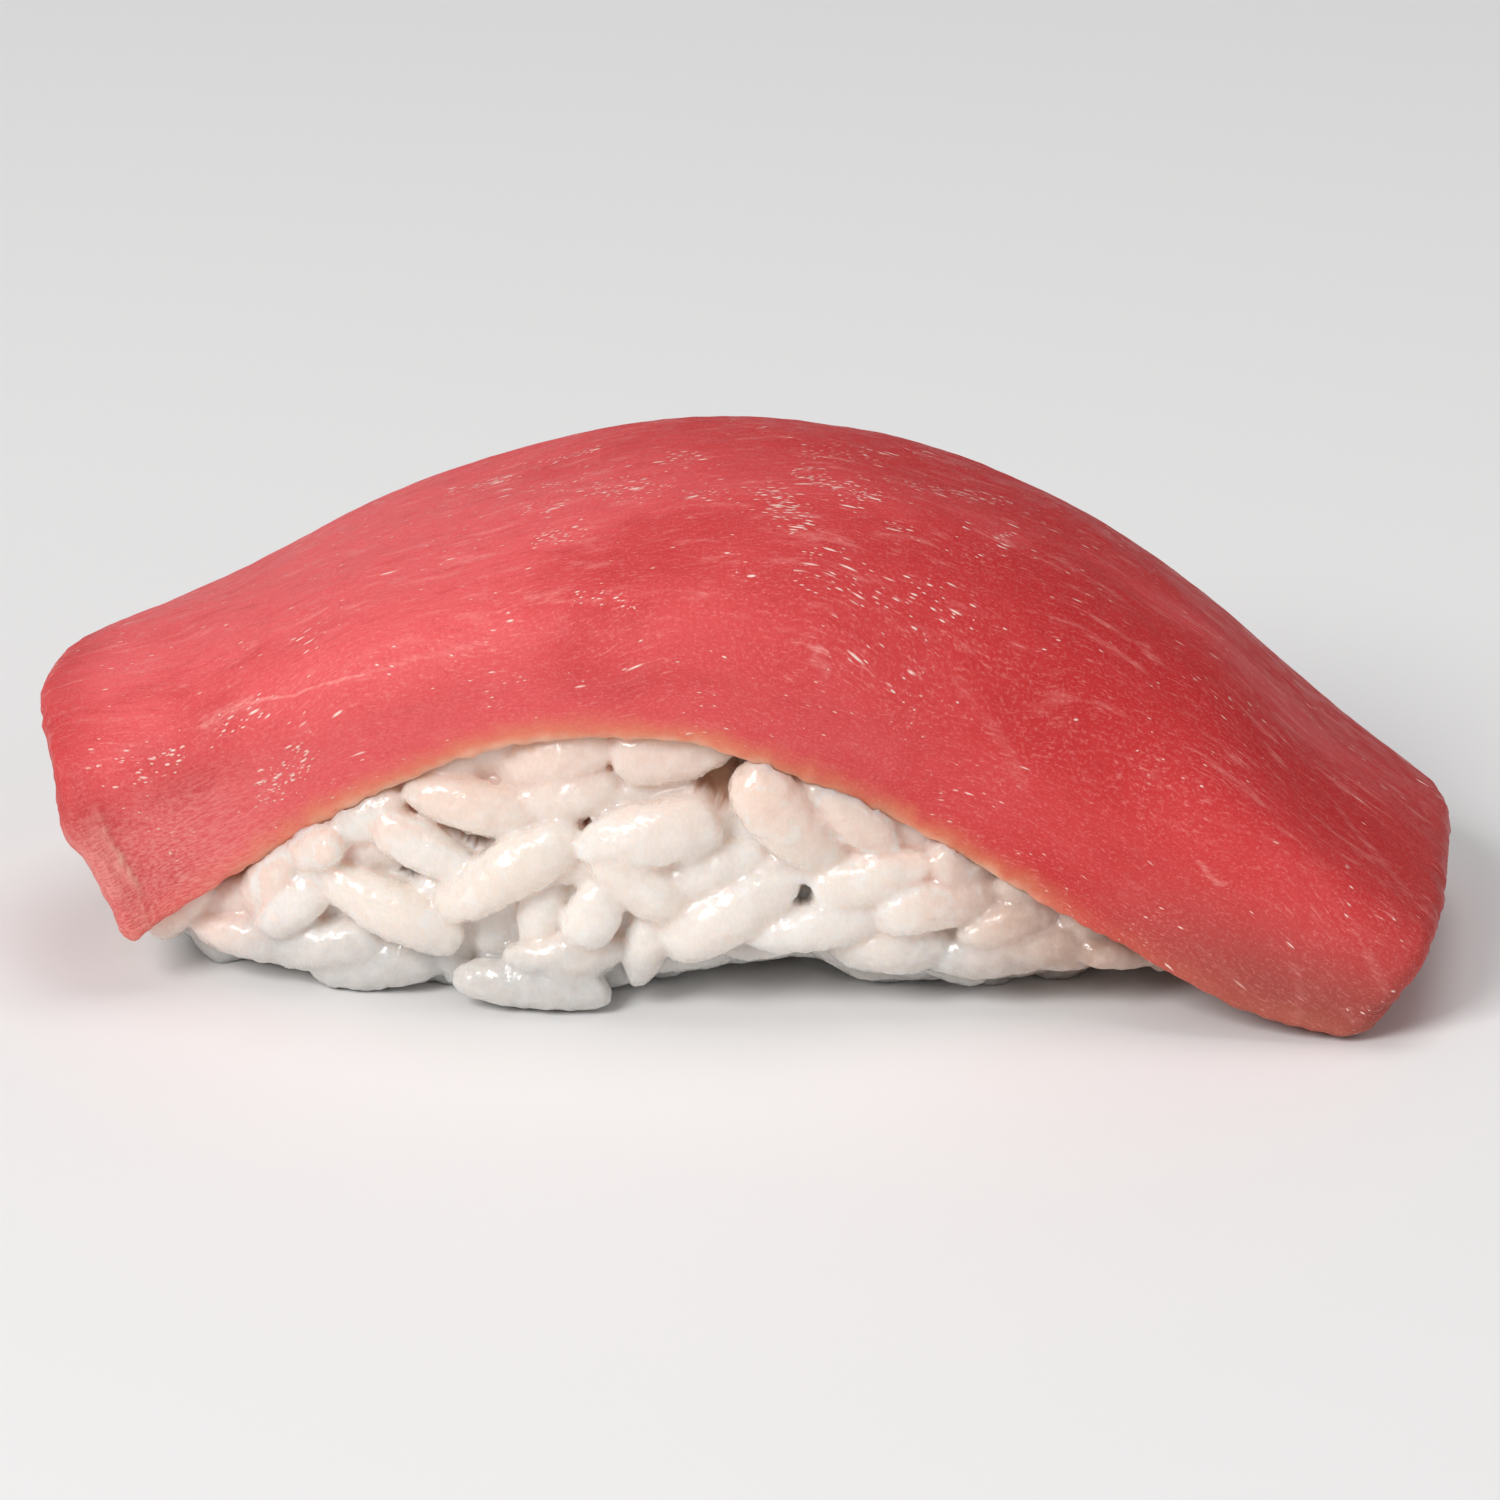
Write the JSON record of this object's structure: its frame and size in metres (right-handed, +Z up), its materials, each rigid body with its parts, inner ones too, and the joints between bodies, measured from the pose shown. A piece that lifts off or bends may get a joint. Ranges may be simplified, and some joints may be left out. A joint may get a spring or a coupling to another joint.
{
  "type": "tuna nigiri sushi",
  "caption": "Tuna sushi: a thick slice of raw red tuna draped over a hand-pressed oblong ball of short-grain rice.",
  "frame": {"origin": "on the surface the rice rests on, under the middle of the slice", "axes": "+X along the slice towards its lower end, +Z up, -Y towards the side that shows the rice in the picture"},
  "size_m": [0.075, 0.0278, 0.0261],
  "materials": {
    "tuna": "moist raw fish, satin to glossy, translucent at thin edges",
    "rice": "moist cooked rice, glossy and translucent white"
  },
  "bodies": {
    "root": {"tuna_slice": "tuna", "rice": "rice"}
  },
  "joints": []
}
